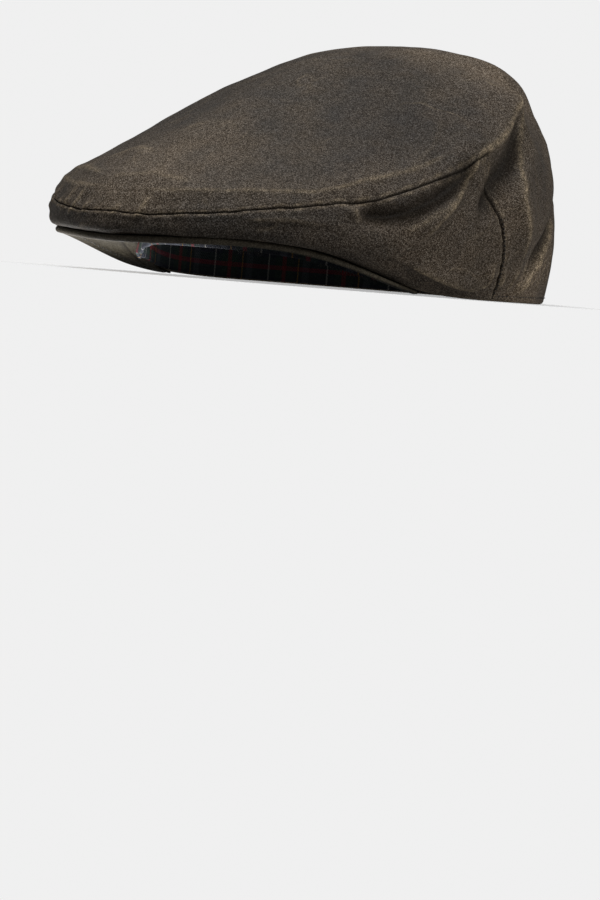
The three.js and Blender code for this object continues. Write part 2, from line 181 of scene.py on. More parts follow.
# Broad patches of darker and lighter cloth: place, reach in mm and strength. Partly uneven wax, partly
# painted light and shade that set how bright a region of the crown looks.
waxAndLightPatches = [
    {"at": (69, 3.9), "reach": 30, "tone": -0.26},
    {"at": (48, 4.6), "reach": 44, "tone": -0.36},
    {"at": (0, 2.8), "reach": 24, "tone": 0.36},
    {"at": (14, 4.0), "reach": 34, "tone": -0.12},
    {"at": (34, 2.7), "reach": 22, "tone": -0.14},
    {"at": (110, 4.5), "reach": 26, "tone": 0.36},
    {"at": (98, 1.6), "reach": 24, "tone": 0.1},
    {"at": (75, 1.1), "reach": 20, "tone": -0.06},
    {"at": (58, 1.5), "reach": 22, "tone": 0.1},
    {"at": (112, 0.3), "reach": 24, "tone": 0.7},
    {"at": (88, 2.9), "reach": 14, "tone": 0.1},
    {"at": (150, 3.2), "reach": 40, "tone": 0.12},
]
# The strip below the seam is darker as far as the side: painted shade.
stripShade = {"tone": -0.38, "edge": 0.2, "end": 78, "fade": 40}
# The sunk line of the seam, its rolled edges and the ripple beside it, in mm, with the shade painted along
# the groove.
groove = {
    "depth": 1.2, "width": 0.34, "shadeWidth": 0.4,
    "roll": 0.35, "rollAt": 2.6, "rollWidth": 2.2,
    "ripple": 0.28, "rippleAt": 2, "rippleWidth": 2.2, "pitch": 6.3, "sway": 1.7, "swayLength": 9,
    "wear": 0.3, "wearRipple": 0.25, "wearAt": 1.3, "wearWidth": 0.6,
    # just past the corner the long fold covers it
    "covered": 0.9, "coverStart": 1.5, "coverEnd": 11, "coverFade": 4,
}
# The cloth is in shadow where it turns under above the peak: angles and levels.
peakShadow = {"shade": 0.9, "end": 68, "fade": 10, "level": 0.3, "edge": 0.2}
# Soft lumps all over, in mm, and the levels above the hem where folds and lumps begin.
lumps = [{"rise": 0.8, "size": 30, "seed": 1}, {"rise": 0.35, "size": 11, "seed": 2}]
hemFade = {"folds": 0.45, "lumps": 0.6}


# Weights of a cubic spline's four control points at the part f of a span.
def splineWeights(f):
    return [(1 - f) ** 3 / 6, (3 * f**3 - 6 * f**2 + 4) / 6,
            (-3 * f**3 + 3 * f**2 + 3 * f + 1) / 6, f**3 / 6]


# Rows of a section table at any angles.
def atAngle(table, angle):
    turned = np.abs(angle) / crown["sectionStep"]
    last = len(table) - 1
    first = np.minimum(np.floor(turned).astype(int), last - 1)
    total = 0
    for k, weight in enumerate(splineWeights(turned - first)):
        row = np.abs(first - 1 + k)
        row = np.where(row > last, 2 * last - row, row)
        total = total + (weight * table[row].T).T
    return total


def polarPoints(angle, radius, height):
    turn = np.radians(angle)
    return np.column_stack([radius * np.sin(turn), -radius * np.cos(turn), height])


# The crown without folds, in mm, one point for each angle and level.
def smoothCrown(angle, level):
    radius = atAngle(crownRadius, angle)
    rise = atAngle(crownRise, angle)
    ones = np.ones(len(angle))
    ring = crown["ringRadius"] * ones
    dip = crown["lean"] * np.cos(np.radians(angle))
    radius = np.column_stack([2 * radius[:, 0] - radius[:, 1], radius, ring, 0 * ones, -ring])
    rise = np.column_stack([2 * rise[:, 0] - rise[:, 1], rise, crown["height"] - dip,
                            crown["height"] * ones, crown["height"] + dip])
    first = np.minimum(np.floor(level).astype(int), crown["topLevel"] - 1)
    each = np.arange(len(angle))
    r = z = 0
    for k, weight in enumerate(splineWeights(level - first)):
        r = r + weight * radius[each, first + k]
        z = z + weight * rise[each, first + k]
    return polarPoints(angle, r, z)


# The crown's outward direction, from points a little to each side.
def crownNormal(angle, level):
    turn, climb = crown["probe"]
    along = smoothCrown(angle + turn, level) - smoothCrown(angle - turn, level)
    above = smoothCrown(angle, np.minimum(level + climb, crown["topLevel"]))
    below = smoothCrown(angle, np.maximum(level - climb, 0))
    normal = np.cross(along, above - below)
    normal[level > crown["flatFrom"]] = (0, 0, 1)
    return normal / np.linalg.norm(normal, axis=1)[:, None]


# Distance from a path in mm along the cloth, its side, how far along, and its length.
def besidePath(path, angle, level):
    x, y = angle * crown["angleSize"], level * crown["levelSize"]
    points = [(a * crown["angleSize"], b * crown["levelSize"]) for a, b in path]
    best = np.full(len(x), 1e9)
    side = np.zeros(len(x))
    at = np.zeros(len(x))
    walked = 0
    for (ax, ay), (bx, by) in zip(points, points[1:]):
        length = math.hypot(bx - ax, by - ay)
        along = np.clip(((x - ax) * (bx - ax) + (y - ay) * (by - ay)) / length, 0, length)
        dx = x - (ax + (bx - ax) * along / length)
        dy = y - (ay + (by - ay) * along / length)
        distance = np.hypot(dx, dy)
        closer = distance < best
        best = np.where(closer, distance, best)
        side = np.where(closer, (bx - ax) * dy - (by - ay) * dx, side)
        at = np.where(closer, walked + along, at)
        walked += length
    return best, side, at, walked


# 0 below 0 and 1 above 1, with a smooth way between.
def smoothStep(x):
    x = np.clip(x, 0, 1)
    return x * x * (3 - 2 * x)


def bellShape(distance, width, power=2):
    return np.exp(-((distance / width) ** power))


# 0 at the ends of a path and 1 from reach mm on.
def fadeIn(at, length, reach, start=0.0):
    return smoothStep(np.minimum(at, length - at) / reach + start)


# A smooth curve through the rows of a small table.
def readTable(table, source, target, value):
    xs, ys = np.array(table[source], float), np.array(table[target], float)
    last = len(xs) - 1
    slopes = [(ys[min(i + 1, last)] - ys[max(i - 1, 0)]) / (xs[min(i + 1, last)] - xs[max(i - 1, 0)])
              for i in range(last + 1)]
    slopes = np.array(slopes)
    k = np.clip(np.searchsorted(xs, value, side="left") - 1, 0, last - 1)
    span = xs[k + 1] - xs[k]
    f = np.clip((value - xs[k]) / span, 0, 1)
    step = ys[k + 1] - ys[k]
    bend = slopes[k] * span * (1 - f) - slopes[k + 1] * span * f - step * (1 - 2 * f)
    return ys[k] + step * f + f * (1 - f) * bend


# The seam wanders a little round the front, by these parts of a level.
seamWander = {"sizes": (0.016, 0.008), "turns": (0.42, 1.15), "start": 1.2, "until": 62, "fade": 16}


# Level of the seam at these angles.
def seamAt(angle):
    (long, short), (slow, quick) = seamWander["sizes"], seamWander["turns"]
    wobble = long * np.sin(slow * angle + seamWander["start"]) + short * np.sin(quick * angle)
    fade = smoothStep((seamWander["until"] - angle) / seamWander["fade"])
    return readTable(sideSeam, "angle", "level", angle) + wobble * fade


cornerLevel = sideSeam["level"][-1]
seamPath = [(a, float(seamAt(a))) for a in np.linspace(0, seamCorner, 70)]
# how far along the path its corner is, in mm
cornerAt = sum(math.hypot((b[0] - a[0]) * crown["angleSize"], (b[1] - a[1]) * crown["levelSize"])
               for a, b in zip(seamPath, seamPath[1:]))
seamPath += [(float(readTable(backSeam, "level", "angle", v)), v)
             for v in np.linspace(cornerLevel, 0, 14)[1:]]


# Smooth noise from -1 to 1 at points in mm, with lumps of that size in mm.
def noiseAt(points, size, seed):
    offset = Vector((seed * 7.3, seed * 3.1, seed * 5.7))
    return np.array([noise.noise(Vector(p) / size + offset) for p in points])


# The large folds: how far they push the cloth, its wear, and the shade painted into their hollows.
def foldMarks(both, level):
    push, wear, shade = np.zeros((3, len(both)))
    for fold in folds:
        distance, side, at, length = besidePath(fold["path"], both, level)
        inside = fadeIn(at, length, fold["ends"])
        width = np.where(side > 0, fold["left"], fold["right"])
        power = np.where(side > 0, *fold["powers"])
        size = foldMark["endShare"] + (1 - foldMark["endShare"]) * inside
        size = size * bellShape(distance, width, power)
        push += fold["rise"] * size
        # hollows get painted shade, darker the deeper they are
        if fold["rise"] < 0:
            shade += size**2 * min(1, -fold["rise"] / foldMark["fullShade"])
            continue
        crest = np.where(side > 0, distance, -distance) - fold.get("wearAt", 0)
        halo = fold.get("halo", foldMark["haloShare"])
        pale = (1 - halo) * bellShape(crest, foldMark["line"])
        wear += fold["wear"] * inside * (pale + halo * bellShape(crest, foldMark["halo"]))
    return push, wear, shade


def wrinkleMarks(angle, level):
    push, wear = np.zeros((2, len(angle)))
    for fold in wrinkles:
        turned = angle * fold["side"] if fold["side"] else np.abs(angle)
        distance, _, at, length = besidePath(fold["path"], turned, level)
        fade = fadeIn(at, length, wrinkleMark["ends"], wrinkleMark["start"])
        push += fold["rise"] * fade * bellShape(distance, fold["width"])
        wear += fold["wear"] * fade * bellShape(distance, wrinkleMark["line"])
    return push, wear


def puckerMarks(angle, level):
    push, wear = np.zeros((2, len(angle)))
    for k, a in enumerate(puckers["angles"]):
        size = puckers["size"] + puckers["swing"] * math.sin(puckers["beat"] * k)
        seam, lean = float(seamAt(abs(a))), puckers["lean"] * size
        path = [(a - lean, seam - puckers["below"] * size), (a, seam),
                (a + lean, seam + puckers["above"] * size)]
        distance, _, at, length = besidePath(path, angle, level)
        fade = fadeIn(at, length, puckers["ends"], puckers["start"])
        push += size * puckers["rise"] * fade * bellShape(distance, puckers["width"])
        wear += puckers["wear"] * size * fade * bellShape(distance, puckers["line"])
    return push, wear


# The seam: its push, its wear, and the shade painted along its groove.
def seamMarks(both, level):
    toSeam, _, along, _ = besidePath(seamPath, both, level)
    sway = groove["sway"] * np.sin(along / groove["swayLength"])
    ripple = np.sin(2 * math.pi * along / groove["pitch"] + sway)
    past = along - cornerAt
    covered = smoothStep(past / groove["coverStart"])
    covered = covered * smoothStep((groove["coverEnd"] - past) / groove["coverFade"])
    shown = 1 - groove["covered"] * covered
    push = groove["ripple"] * ripple * bellShape(toSeam - groove["rippleAt"], groove["rippleWidth"])
    push -= groove["depth"] * shown * bellShape(toSeam, groove["width"])
    push += groove["roll"] * bellShape(toSeam - groove["rollAt"], groove["rollWidth"])
    wear = groove["wear"] + groove["wearRipple"] * ripple
    wear = wear * bellShape(toSeam - groove["wearAt"], groove["wearWidth"])
    return push, wear, shown * bellShape(toSeam, groove["shadeWidth"])


# Tone at each point: wax patches with painted light and shade, and the painted shade of the strip below the
# seam.
def toneAt(both, level):
    tone = np.zeros(len(both))
    for row in waxAndLightPatches:
        x = (both - row["at"][0]) * crown["angleSize"]
        y = (level - row["at"][1]) * crown["levelSize"]
        tone += row["tone"] * np.exp(-(x * x + y * y) / row["reach"] ** 2)
    # painted shade on the strip below the seam
    below = smoothStep((seamAt(both) - level) / stripShade["edge"])
    return tone + stripShade["tone"] * below * smoothStep((stripShade["end"] - both) / stripShade["fade"])


# 1 above the peak and 0 past its ends.
def abovePeak(both):
    return smoothStep((peakShadow["end"] - both) / peakShadow["fade"])


# How far each cloth point is pushed out in mm, its wear, its painted shade in hollows, along the seam and
# under the hem, and its tone.
def clothShape(angle, level):
    both = np.abs(angle)
    push, wear, shade = foldMarks(both, level)
    for morePush, moreWear in (wrinkleMarks(angle, level), puckerMarks(angle, level)):
        push += morePush
        wear += moreWear
    seamPush, seamWear, seamShade = seamMarks(both, level)
    push = (push + seamPush) * smoothStep(level / hemFade["folds"])
    under = smoothStep((peakShadow["level"] - level) / peakShadow["edge"])
    shade = shade + seamShade + peakShadow["shade"] * under * abovePeak(both)
    return push, np.clip(wear + seamWear, 0, 1), np.clip(shade, 0, 1), toneAt(both, level)


# The crown's cloth with all its folds, lifted or sunk by lift mm, and its marks.
def crownCloth(angle, level, lift=0.0):
    point = smoothCrown(angle, level)
    normal = crownNormal(angle, level)
    push, *marks = clothShape(angle, level)
    rough = sum(row["rise"] * noiseAt(point, row["size"], row["seed"]) for row in lumps)
    push = push + rough * smoothStep(level / hemFade["lumps"])
    return point + normal * (push + lift)[:, None], marks


def crownMiddle(lift=0.0):
    return crownCloth(np.array([0.0]), np.array([crown["middle"]]), lift)[0]


# The cap stands in the row's frame, whose origin is the middle of its footprint.
bandFront = 97    # the sweatband's radius at the front, in mm
shift = Vector((0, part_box("sweatband")[0][1] + bandFront * mm, 0))


# A smooth mesh from points in mm. marks are its wear, shade and tone at each point.
def makeMesh(name, points, faces, marks=None, uv=None):
    mesh = bpy.data.meshes.new(name)
    placed = np.asarray(points) * mm + np.array(shift)
    mesh.from_pydata([tuple(p) for p in placed], [], [tuple(int(i) for i in f) for f in faces])
    mesh.update()
    for title, values in zip(("wear", "shade", "tone"), marks or ()):
        layer = mesh.attributes.new(title, "FLOAT", "POINT")
        layer.data.foreach_set("value", np.asarray(values, dtype=np.float32).ravel())
    if uv is not None:
        layer = mesh.uv_layers.new(name="cloth")
        corners = np.zeros(len(mesh.loops), dtype=np.int32)
        mesh.loops.foreach_get("vertex_index", corners)
        layer.data.foreach_set("uv", np.asarray(uv, dtype=np.float32)[corners].ravel())
    mesh.shade_smooth()
    piece = bpy.data.objects.new(name, mesh)
    bpy.context.scene.collection.objects.link(piece)
    return piece


# Faces of a grid whose points run up each column in turn.
def gridFaces(columns, rows, wrap=False):
    c = np.arange(columns if wrap else columns - 1)
    c, r = np.meshgrid(c, np.arange(rows - 1), indexing="ij")
    d = (c + 1) % columns
    quads = np.stack([c * rows + r, d * rows + r, d * rows + r + 1, c * rows + r + 1], -1)
    return [tuple(quad) for quad in quads.reshape(-1, 4)]


# Faces of a dome: a closed grid whose last row meets one more point in the middle.
def domeFaces(columns, rows):
    last, middle = rows - 1, columns * rows
    cap = [(c * rows + last, (c + 1) % columns * rows + last, middle) for c in range(columns)]
    return gridFaces(columns, rows, wrap=True) + cap


# Distances that start with small steps and grow to a largest one.
def growingSteps(first, growth, most, total):
    at, step = [0.0], first
    while at[-1] < total:
        at.append(at[-1] + step)
        step = min(step * growth, most)
    return np.array(at) / at[-1]


# The hem's section below the cloth, inward and up in mm: it turns under and up the inside.
hemTurn = [(crown["hemWall"], 7), (crown["hemWall"], 1.3), (2.2, 0.4), (1.3, 0), (0.4, 0.4)]


# Points of the turned hem at these angles, from its inner end out to the cloth.
def hemRows(angle):
    edge = atAngle(crownRadius, angle)[:, 0]
    base = atAngle(crownRise, angle)[:, 0]
    return [polarPoints(angle, edge - inward, base + up) for inward, up in hemTurn]


# Flat coordinates in metres: the distance to the middle along each column, and its way.
def clothPlane(grid, middle):
    steps = np.linalg.norm(np.diff(grid, axis=1, append=np.tile(middle, (len(grid), 1, 1))), axis=2)
    far = np.cumsum(steps[:, ::-1], axis=1)[:, ::-1]
    way = grid[..., :2] - middle[:2]
    way = way / np.maximum(np.linalg.norm(way, axis=2), 0.01)[..., None]
    return way * far[..., None] * mm


# Its columns start on the seam and on the hem behind it and run to the middle of the top.
topPanel = {
    "columns": (111, 61, 91),       # round the front seam, down the back seam and round half the hem
    "fan": 45,                      # degrees over which the columns of the back seam spread
    "lag": (1.15, 1.5),             # how slowly columns climb at first: at most places and the hem corner
    "turnRate": 1.6,
    "rows": (0.25, 1.2, 1.2, 112),  # first step, growth, largest step and whole length
    "turnIn": [3.2, 2.6, 2.0, 1.3, 0.6],
}


# One column for each: angle and level of its start, the angle it heads for, its lag, 1 at the hem.
def topPanelEdge():
    alongSeam, downSeam, roundHem = topPanel["columns"]
    side = np.linspace(0, seamCorner, alongSeam)[:-1]
    down = np.linspace(0, 1, downSeam)[:-1]
    back = np.linspace(0, 1, roundHem)
    hemLevel, fanEnd = crown["hemLevel"], seamCorner + topPanel["fan"]
    corner = float(readTable(backSeam, "level", "angle", hemLevel))
    backLevel = cornerLevel * (1 - down)
    backAngle = readTable(backSeam, "level", "angle", backLevel)
    slow, slowest = topPanel["lag"]
    angle = [*side, *backAngle, *(corner + (180 - corner) * back)]
    level = [*seamAt(side), *np.maximum(backLevel, hemLevel), *(hemLevel + 0 * back)]
    start = [*side, *(seamCorner + topPanel["fan"] * down), *(fanEnd + (180 - fanEnd) * back)]
    more = slowest - slow
    lag = [*(slow + 0 * side), *(slow + more * down), *(slowest - more * back)]
    hem = [0] * (len(side) + len(down)) + [1] * len(back)
    edge = np.array([angle, level, start, lag, hem])
    mirrored = edge[:, 1:-1][:, ::-1].copy()
    mirrored[[0, 2]] *= -1
    return np.concatenate([edge, mirrored], axis=1)


def topPanelPiece():
    edge = topPanelEdge()
    ways = growingSteps(*topPanel["rows"])[:-1]
    columns, rows, extra = edge.shape[1], len(ways), len(hemTurn)
    startAngle, startLevel, aim, lag, _ = (np.repeat(v, rows) for v in edge)
    way = np.tile(ways, columns)
    levels = startLevel + (crown["topLevel"] - startLevel) * way**lag
    turned = np.sin(math.pi / 2 * np.minimum(1, topPanel["turnRate"] * way))
    points, marks = crownCloth(startAngle + (aim - startAngle) * turned, levels)
    wear, shade, tone = (mark.reshape(columns, rows) for mark in marks)
    grid = np.zeros((columns, rows + extra, 3))
    grid[:, extra:] = points.reshape(columns, rows, 3)
    atHem, inward = edge[4][:, None], crownNormal(edge[0], edge[1])
    for k, (hemPoint, sink) in enumerate(zip(hemRows(edge[0]), topPanel["turnIn"])):
        grid[:, k] = np.where(atHem > 0, hemPoint, grid[:, extra] - inward * sink)
    # the rows turned in at the seam get full painted shade, the hem rows none
    turnRows = np.ones((1, extra))
    wear = np.hstack([crown["hemWear"] * atHem * turnRows, wear])
    shade = np.hstack([(1 - atHem) * turnRows, shade])
    tone = np.pad(tone, ((0, 0), (extra, 0)), mode="edge")
    middle = crownMiddle()
    uv = clothPlane(grid, middle[0]).reshape(-1, 2)
    return makeMesh("top_cloth", np.vstack([grid.reshape(-1, 3), middle]),
                    domeFaces(columns, rows + extra), [np.append(mark, 0) for mark in (wear, shade, tone)],
                    np.vstack([uv, [[0, 0]]]))


# Steps of its columns from the front to each side, and of its rows down from the seam, in mm:
# first, growth, largest and whole length.
sideBand = {
    "columns": (0.35, 1.25, 1.15, 150),
    "rows": (0.3, 1.25, 1.6, 58),
    "turnIn": 2.2,        # how far its edges turn in behind the top panel
    "hemTurnIn": 0.4,
}


def sideBandPiece():
    half = growingSteps(*sideBand["columns"])
    along = np.concatenate([-half[::-1][:-1], half])
    ups = np.sort(1 - growingSteps(*sideBand["rows"]))
    columns, rows, extra = len(along), len(ups), len(hemTurn)
    across, up = np.repeat(along, rows), np.tile(ups, columns)
    hemLevel = crown["hemLevel"]
    levels = hemLevel + up * (seamAt(np.abs(across) * seamCorner) - hemLevel)
    backLevel = hemLevel + up * (cornerLevel - hemLevel)
    angles = across * readTable(backSeam, "level", "angle", backLevel)
    points, marks = crownCloth(angles, levels)
    angles, levels, wear, shade, tone = (v.reshape(columns, rows) for v in (angles, levels, *marks))
    grid = np.zeros((columns, rows + extra + 1, 3))
    grid[:, extra:-1] = points.reshape(columns, rows, 3)
    for k, row in enumerate(hemRows(angles[:, 0])):
        grid[:, k] = row
    grid[:, -1] = grid[:, -2] - crownNormal(angles[:, -1], levels[:, -1]) * sideBand["turnIn"]
    # one more column at each end, turned in behind the back seam
    ends = []
    for c in (0, -1):
        sunk = grid[c].copy()
        sunk[extra:-1] -= crownNormal(angles[c], levels[c]) * sideBand["turnIn"]
        sunk[:extra] -= crownNormal(angles[c, :1], levels[c, :1]) * sideBand["hemTurnIn"]
        sunk[-1] = sunk[-2]
        ends.append(sunk[None])
    grid = np.concatenate([ends[0], grid, ends[1]])
    overPeak, turnRows = abovePeak(np.abs(angles[:, :1])), np.ones((1, extra))
    edgeWear = crown["hemWear"] * (1 - overPeak)
    wear = np.hstack([edgeWear * turnRows, wear, edgeWear])
    # painted shade: full on the rows turned in at the top and at the ends, and under the hem above the peak
    shade = np.hstack([peakShadow["shade"] * overPeak * turnRows, shade, 1 + 0 * overPeak])
    wear = np.pad(wear, ((1, 1), (0, 0)), mode="edge")
    shade = np.pad(shade, ((1, 1), (0, 0)), constant_values=1)
    tone = np.pad(tone, ((1, 1), (extra, 1)), mode="edge")
    count = rows + extra + 1
    around = np.linalg.norm(np.diff(grid, axis=0, prepend=grid[:1]), axis=2)[:, count // 2]
    climb = np.linalg.norm(np.diff(grid, axis=1, prepend=grid[:, :1]), axis=2)
    uv = np.stack([np.cumsum(around)[:, None] + 0 * climb, np.cumsum(climb, axis=1)], -1) * mm
    return makeMesh("side_cloth", grid.reshape(-1, 3), gridFaces(columns + 2, count),
                    [wear, shade, tone], uv.reshape(-1, 2))


# Its cloth lies inward of the crown's, in mm.
lining = {"columns": 180, "levels": (0.3, 6.8, 52), "lastLevel": 6.93, "inward": 3.4}


def liningPiece():
    angles = np.linspace(-180, 180, lining["columns"] + 1)[:-1]
    levels = np.append(np.linspace(*lining["levels"]), lining["lastLevel"])
    columns, rows = len(angles), len(levels)
    points = crownCloth(np.repeat(angles, rows), np.tile(levels, columns), -lining["inward"])[0]
    points = np.vstack([points, crownMiddle(-lining["inward"])])
    uv = points[:, :2] * mm
    uv[-1] = 0
    return makeMesh("crown_inside", points, domeFaces(columns, rows), uv=uv)


# Radius and lower edge at every 20 degrees from the front to the back, and sizes in mm.
band = {
    "radius": np.array([bandFront, bandFront, bandFront, 96, 90, 86, 87, 90, 93, 94.5])[:, None],
    "low": np.array([14, 14, 12, 2.6, 0.6, 0.6, 0.6, 0.6, 0.6, 0.6])[:, None],
    "thick": 1.5,
    "tall": 28,
    "rows": (7, 14, 21),
    "inset": 0.4,         # its edges are bevelled this far inward, and by the next value upright
    "bevel": 0.5,
    "steps": 240,
    "clear": 0.7,
    "checkStart": 9,
}
# A crumpled piece of its lower edge hangs out on the far side of the front.
crumple = {"at": -38, "reach": 9, "rows": 7, "share": 0.35, "drop": 3.6, "out": 2.2,
           "waves": [(0.9, 0.8), (2.1, 0.4)]}


def bandRadius(angle):
    inCrown = atAngle(crownRadius, angle)[:, 0] - crown["hemWall"] - band["clear"]
    return np.minimum(atAngle(band["radius"], angle)[:, 0], inCrown)


# A closed tube of sections, each a loop of points; open ends are capped.
def ringMesh(name, sections, wrap, marks=None, uv=None):
    count, size = sections.shape[:2]
    spans = count if wrap else count - 1
    s, k = np.meshgrid(np.arange(spans), np.arange(size), indexing="ij")
    t, n = (s + 1) % count, (k + 1) % size
    faces = np.stack([s * size + k, t * size + k, t * size + n, s * size + n], -1).reshape(-1, 4)
    faces = [tuple(f) for f in faces]
    if not wrap:
        faces.append(tuple(range(size)))
        faces.append(tuple(range(count * size - 1, (count - 1) * size - 1, -1)))
    return makeMesh(name, sections.reshape(-1, 3), faces, marks, uv)


# Sizes in mm and angles in degrees. Rows lie at parts of the peak's width from its outer edge.
peak = {
    "end": 67,
    "corner": 10,             # its ends are rounded over these degrees
    "endWidth": 0.35,
    "thick": 3.2,
    "endThick": 0.45,
    "thinOver": 30,
    "gap": 0.3,
    "proud": 3.4,             # how far the middle stands out, and where that fades
    "least": 0.4,
    "fadeFrom": 20,
    "fadeOver": 30,
    "rise": 5,
    "bendAt": 0.45,           # the faces rise slowly up to here, then more steeply
    "bendRise": 0.25,
    "steps": 241,
    "upper": (1, 0.8, 0.6, 0.45, 0.3, 0.18, 0.1),
    "rim": 9,
    "stitchIn": 6,
    # parts of stitchIn, and how far the row sinks in
    "sewn": [(0.5, 0), (0.85, 0.1), (1, 0.35), (1.15, 0.1), (1.6, -0.05)],
    # parts of the width, how far the row sinks in, and its shade: a seam runs across
    "lower": [(0.3, 0, 0), (0.45, 0, 0), (0.6, 0, 0), (0.69, 0, 0.5), (0.7, 0.1, 1), (0.715, 0.5, 0.5),
              (0.73, 0.1, 0), (0.74, 0, 0), (0.8, 0, 0), (0.9, 0, 0), (1, 0, 0)],
    "lowerFrom": 1.7,         # its plain lower face begins at this many parts of stitchIn
    "wear": 0.3,
    "edgeTone": -0.85,
    "darkFrom": 22,           # its whole face darkens to the edge's tone from here on
    "darkOver": 20,
}


# Radius of the peak's inner and outer edge, its top height, its rise and its thickness.
def peakFrame(angle):
    toEnd = np.clip((peak["end"] - np.abs(angle)) / peak["corner"], 0, 1)
    shrink = peak["endWidth"] + (1 - peak["endWidth"]) * np.sqrt(toEnd * (2 - toEnd))
    inside = bandRadius(angle) + peak["gap"]
    fade = smoothStep((np.abs(angle) - peak["fadeFrom"]) / peak["fadeOver"])
    proud = peak["proud"] * (1 - fade) + peak["least"]
    outside = inside + (atAngle(crownRadius, angle)[:, 0] + proud - inside) * shrink
    top = atAngle(crownRise, angle)[:, 0] - peak["gap"]
    rise = peak["rise"] * np.cos(math.pi / 2 * angle / peak["end"]) ** 2
    thin = smoothStep((peak["end"] - np.abs(angle)) / peak["thinOver"])
    thick = peak["thick"] * (peak["endThick"] + (1 - peak["endThick"]) * thin)
    return inside, outside, top, rise, thick


# The share of the rise that the faces have at a part of the width.
def peakBow(part):
    if part < peak["bendAt"]:
        return peak["bendRise"] * part / peak["bendAt"]
    return peak["bendRise"] + (1 - peak["bendRise"]) * (part - peak["bendAt"]) / (1 - peak["bendAt"])


def peakPiece():
    angle = np.linspace(-peak["end"], peak["end"], peak["steps"])
    inside, outside, top, rise, thick = peakFrame(angle)
    width, r = outside - inside, thick / 2
    # upper face from the inside to the edge, then round the edge, then the lower face back
    loop = [(outside - width * part, top + rise * peakBow(part)) for part in peak["upper"]]
    for turn in np.radians(np.linspace(90, -90, peak["rim"])):
        loop.append((outside - r + r * math.cos(turn), top - r + r * math.sin(turn)))
    stitchAt = np.minimum(peak["stitchIn"] / np.maximum(width, 1), 0.9)
    for share, sink in peak["sewn"]:
        part = stitchAt * share
        bow = rise * peak["bendRise"] * part / peak["bendAt"]
        loop.append((outside - width * part, top + bow - thick + sink))
    for part, sink, _ in peak["lower"]:
        past = np.maximum(part, stitchAt * peak["lowerFrom"])
        loop.append((outside - width * past, top + rise * peakBow(part) - thick + sink))
    sections = np.stack([polarPoints(angle, radius, height) for radius, height in loop], 1)
    wear, shade, tone = np.zeros((3, *sections.shape[:2]))
    rimEnd = len(peak["upper"]) + peak["rim"] - 2
    wear[:, rimEnd - 5:rimEnd] = peak["wear"]
    tone[:, :rimEnd] = peak["edgeTone"]
    tone[:, rimEnd] = peak["edgeTone"] / 2
    dark = smoothStep((np.abs(angle) - peak["darkFrom"]) / peak["darkOver"])
    tone = np.minimum(tone, peak["edgeTone"] * dark[:, None])
    shade[:, -len(peak["lower"]):] = [row[2] for row in peak["lower"]]
    uv = sections[..., :2].reshape(-1, 2) * mm
    return ringMesh("peak_board", sections, False, [wear, shade, tone], uv)


def bandPiece():
    angle = np.linspace(-180, 180, band["steps"] + 1)[:-1]
    radius, low = bandRadius(angle), atAngle(band["low"], angle)[:, 0]
    t, h, inset = band["thick"], band["tall"], band["inset"]
    heights = [band["bevel"], *band["rows"], h - band["bevel"]]
    outline = [(0, z) for z in heights] + [(-inset, h), (inset - t, h)]
    outline += [(-t, z) for z in heights[::-1]] + [(inset - t, 0), (-inset, 0)]
    sections = np.stack([polarPoints(angle, radius + r, low + z) for r, z in outline], 1)
    loose = bellShape(angle - crumple["at"], crumple["reach"])
    waves = sum(size * np.sin(angle * turns) for turns, size in crumple["waves"])
    for k, (_, z) in enumerate(outline):
        if z <= crumple["rows"]:
            share = 1 if z < 1 else crumple["share"]
            sections[:, k, 2] -= loose * share * (crumple["drop"] + waves)
            sections[:, k, :2] *= (1 + loose * share * (crumple["out"] - waves) / radius)[:, None]
    arc = np.cumsum(np.linalg.norm(np.diff(sections[:, 0], axis=0, prepend=sections[:1, 0]), axis=1))
    checkHeights = [z + band["checkStart"] for _, z in outline]
    uv = np.stack(np.meshgrid(arc, checkHeights, indexing="ij"), -1) * mm
    return ringMesh("check_band", sections, True, None, uv.reshape(-1, 2))


strandSides = 6


# Thin closed tubes. A strand is its points, a side direction and a radius for each point.
def strandMesh(name, strands):
    verts, faces, n = [], [], strandSides
    for points, normal, radii in strands:
        across = np.cross(normal, points[-1] - points[0])
        across /= np.linalg.norm(across)
        base, last = len(verts), len(points) - 1
        for point, radius in zip(points, radii):
            for k in range(n):
                turn = 2 * math.pi * k / n
                verts.append(point + radius * (across * math.cos(turn) + normal * math.sin(turn)))
        for start in range(base, base + last * n, n):
            for k in range(n):
                a, b = start + k, start + (k + 1) % n
                faces.append((a, b, b + n, a + n))
        faces.append(tuple(base + k for k in range(n - 1, -1, -1)))
        faces.append(tuple(base + last * n + k for k in range(n)))
    return makeMesh(name, verts, faces)


# Along a stitch: parts of its length, how high it lies in mm, and parts of its thickness.
stitch = {
    "along": np.array([0, 0.18, 0.5, 0.82, 1]),
    "lift": np.array([-0.13, 0.17, 0.32, 0.17, -0.13]),
    "size": np.array([0.35, 1, 1.1, 1, 0.35]),
}


# Short rounded stitches in a row through points, all in mm, lying on the cloth.
def stitchRow(name, points, normals, length, space, thick):
    points, normals = np.asarray(points), np.asarray(normals)
    run = np.concatenate([[0], np.cumsum(np.linalg.norm(np.diff(points, axis=0), axis=1))])
    strands = []
    for begin in np.arange(space, run[-1] - length, length + space):
        at = begin + length * stitch["along"]
        centre = np.column_stack([np.interp(at, run, points[:, i]) for i in range(3)])
        normal = np.array([np.interp(begin + length / 2, run, normals[:, i]) for i in range(3)])
        normal /= np.linalg.norm(normal)
        # the ends go down into the cloth
        straight = centre[0] + (centre[-1] - centre[0]) * stitch["along"][:, None]
        strands.append((straight + normal * stitch["lift"][:, None], normal, thick * stitch["size"]))
    return strandMesh(name, strands)


